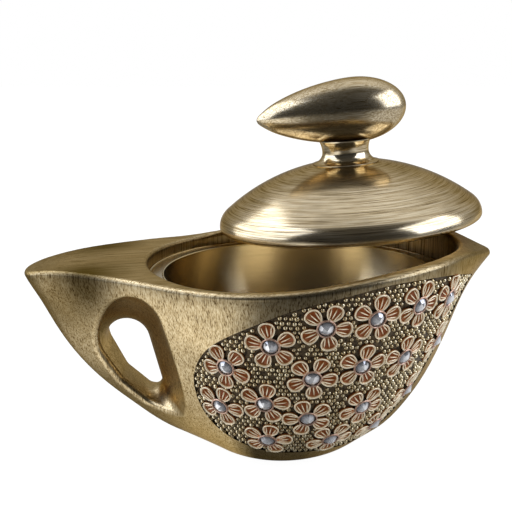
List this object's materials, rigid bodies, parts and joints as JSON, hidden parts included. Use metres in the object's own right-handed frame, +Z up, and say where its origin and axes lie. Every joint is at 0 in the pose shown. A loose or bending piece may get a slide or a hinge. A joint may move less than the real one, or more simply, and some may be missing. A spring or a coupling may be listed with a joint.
{
  "type": "decorative box",
  "caption": "Boat-shaped keepsake box with a finger hole through its tail, a round well with a loose domed lid, and flanks set with flowers and clear stones.",
  "frame": {"origin": "middle of the felt pad's underside, on the surface that the box stands on", "axes": "+X along the hull towards the prow, +Z up, -Y towards the flank that the picture shows"},
  "size_m": [0.2265, 0.1964, 0.1731],
  "materials": {
    "hull_gold": "brushed antique gold coat",
    "cup_gold": "satin",
    "lid_gold": "brushed antique gold coat",
    "neck_gold": "polished",
    "knob_gold": "brushed antique gold coat",
    "panel_bronze": "dark beaded bronze",
    "flower_enamel": "ribbed enamel with pale raised edges",
    "stone_glass": "cut and polished",
    "felt": "felt",
    "screw_steel": "zinc plated"
  },
  "bodies": {
    "box": {"bowl_body": "hull_gold", "inner_cup": "cup_gold", "base_pad": "felt", "front_panel": "panel_bronze", "back_panel": "panel_bronze", "crystals_front": "stone_glass", "crystals_back": "stone_glass", "flower_front_01": "flower_enamel", "flower_front_02": "flower_enamel", "flower_front_03": "flower_enamel", "flower_front_04": "flower_enamel", "flower_front_05": "flower_enamel", "flower_front_06": "flower_enamel", "flower_front_07": "flower_enamel", "flower_front_08": "flower_enamel", "flower_front_09": "flower_enamel", "flower_front_10": "flower_enamel", "flower_front_11": "flower_enamel", "flower_front_12": "flower_enamel", "flower_front_13": "flower_enamel", "flower_front_14": "flower_enamel", "flower_front_15": "flower_enamel", "flower_front_16": "flower_enamel", "flower_front_17": "flower_enamel", "flower_front_18": "flower_enamel", "flower_back_01": "flower_enamel", "flower_back_02": "flower_enamel", "flower_back_03": "flower_enamel", "flower_back_04": "flower_enamel", "flower_back_05": "flower_enamel", "flower_back_06": "flower_enamel", "flower_back_07": "flower_enamel", "flower_back_08": "flower_enamel", "flower_back_09": "flower_enamel", "flower_back_10": "flower_enamel", "flower_back_11": "flower_enamel", "flower_back_12": "flower_enamel", "flower_back_13": "flower_enamel", "flower_back_14": "flower_enamel", "flower_back_15": "flower_enamel", "flower_back_16": "flower_enamel", "flower_back_17": "flower_enamel", "flower_back_18": "flower_enamel"},
    "lid": {"lid_dome": "lid_gold", "lid_base_disc": "lid_gold", "knob_neck": "neck_gold", "knob": "knob_gold", "knob_screw": "screw_steel", "knob_washer": "screw_steel"}
  },
  "joints": [
    {"name": "lid_lift", "type": "slide", "parent": "box", "child": "lid", "axis": [0, 0, 1], "range_m": [0, 0.12]}
  ]
}
